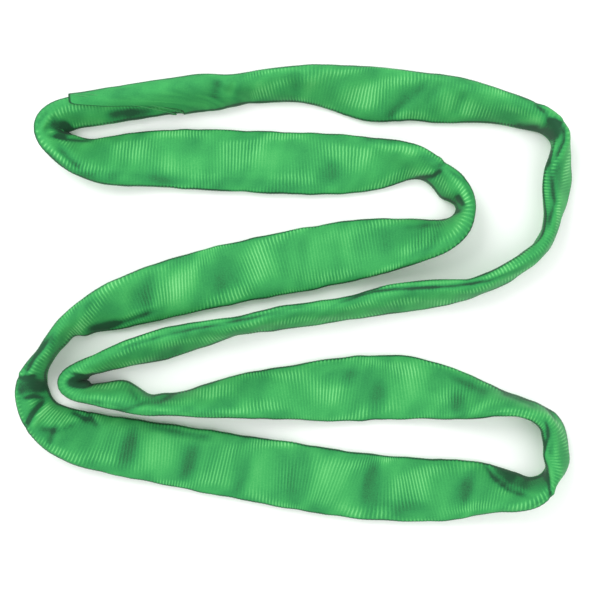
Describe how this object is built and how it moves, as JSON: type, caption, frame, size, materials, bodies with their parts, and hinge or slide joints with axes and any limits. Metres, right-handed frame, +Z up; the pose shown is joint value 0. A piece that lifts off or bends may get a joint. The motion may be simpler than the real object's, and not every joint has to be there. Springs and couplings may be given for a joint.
{
  "type": "round sling",
  "caption": "Endless polyester round sling in a ribbed woven sleeve, lying in a loose folded loop with its bights leaning on edge.",
  "frame": {"origin": "middle of the whole in plan, on the floor it lies on", "axes": "+Z up, +X along the long side of the folded loop, +Y towards the strand with the sewn joint"},
  "size_m": [0.5134, 0.4225, 0.0416],
  "materials": {
    "sleeve_fabric": "ribbed woven",
    "core_yarn": "multifilament yarn",
    "core_tape": "cloth tape",
    "sewing_thread": "thread",
    "label_cloth": "coated cloth, blank"
  },
  "bodies": {
    "root": {"outer_sleeve": "sleeve_fabric", "core_hank": "core_yarn", "core_end_tape": "core_tape", "joint_seam_outer": "sewing_thread", "joint_seam_inner": "sewing_thread", "identification_label": "label_cloth", "label_seam_left": "sewing_thread", "label_seam_right": "sewing_thread"}
  },
  "joints": []
}
